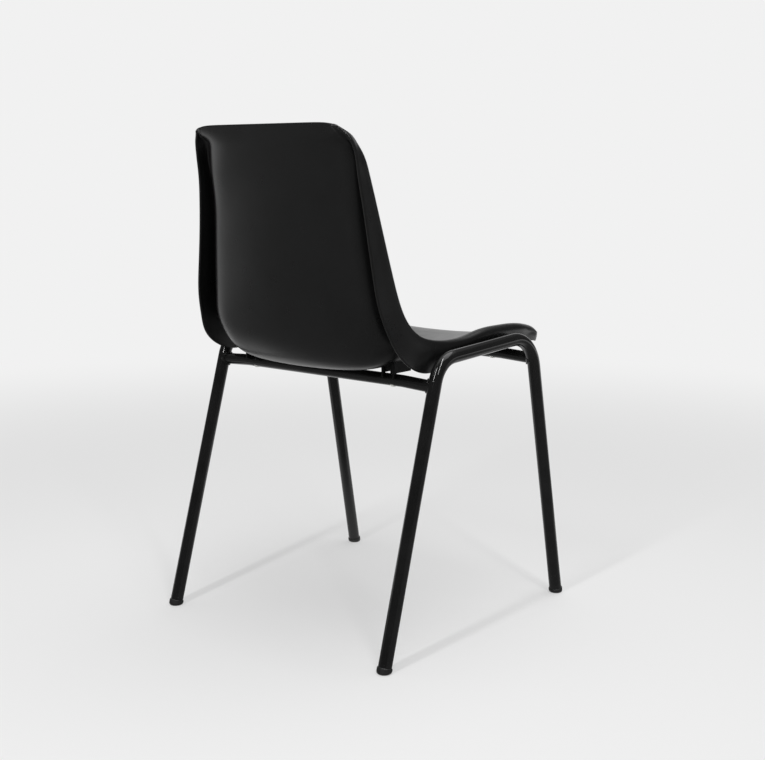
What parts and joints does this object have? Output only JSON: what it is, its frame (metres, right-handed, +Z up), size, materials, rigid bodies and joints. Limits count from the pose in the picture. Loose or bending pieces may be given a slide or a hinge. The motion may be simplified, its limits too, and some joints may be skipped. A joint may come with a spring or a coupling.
{
  "type": "stacking chair",
  "caption": "Armless stacking chair with a one-piece moulded bucket shell and rolled side flanges on a welded tube frame of two inverted-U side frames and two cross tubes.",
  "frame": {"origin": "on the floor, under the middle of the chair", "axes": "+Z up, the sitter faces -Y, +X to the sitter's left"},
  "size_m": [0.4684, 0.4718, 0.7618],
  "materials": {
    "shell_plastic": "moulded polypropylene, black, fine texture with a soft sheen",
    "black_enamel": "gloss black powder coat on steel tube",
    "glide_plastic": "moulded black nylon, scuffed sole",
    "zinc_steel": "bright zinc plate"
  },
  "bodies": {
    "root": {"foot_glide_front_left": "glide_plastic", "foot_glide_front_right": "glide_plastic", "foot_glide_rear_left": "glide_plastic", "foot_glide_rear_right": "glide_plastic", "front_cross_tube": "black_enamel", "rear_cross_tube": "black_enamel", "seat_screw_front_left": "zinc_steel", "seat_screw_front_right": "zinc_steel", "seat_screw_rear_left": "zinc_steel", "seat_screw_rear_right": "zinc_steel", "seat_shell": "shell_plastic", "seat_washer_front_left": "zinc_steel", "seat_washer_front_right": "zinc_steel", "seat_washer_rear_left": "zinc_steel", "seat_washer_rear_right": "zinc_steel", "side_frame_left": "black_enamel", "side_frame_right": "black_enamel", "weld_front_left": "black_enamel", "weld_front_right": "black_enamel", "weld_rear_left": "black_enamel", "weld_rear_right": "black_enamel"}
  },
  "joints": []
}
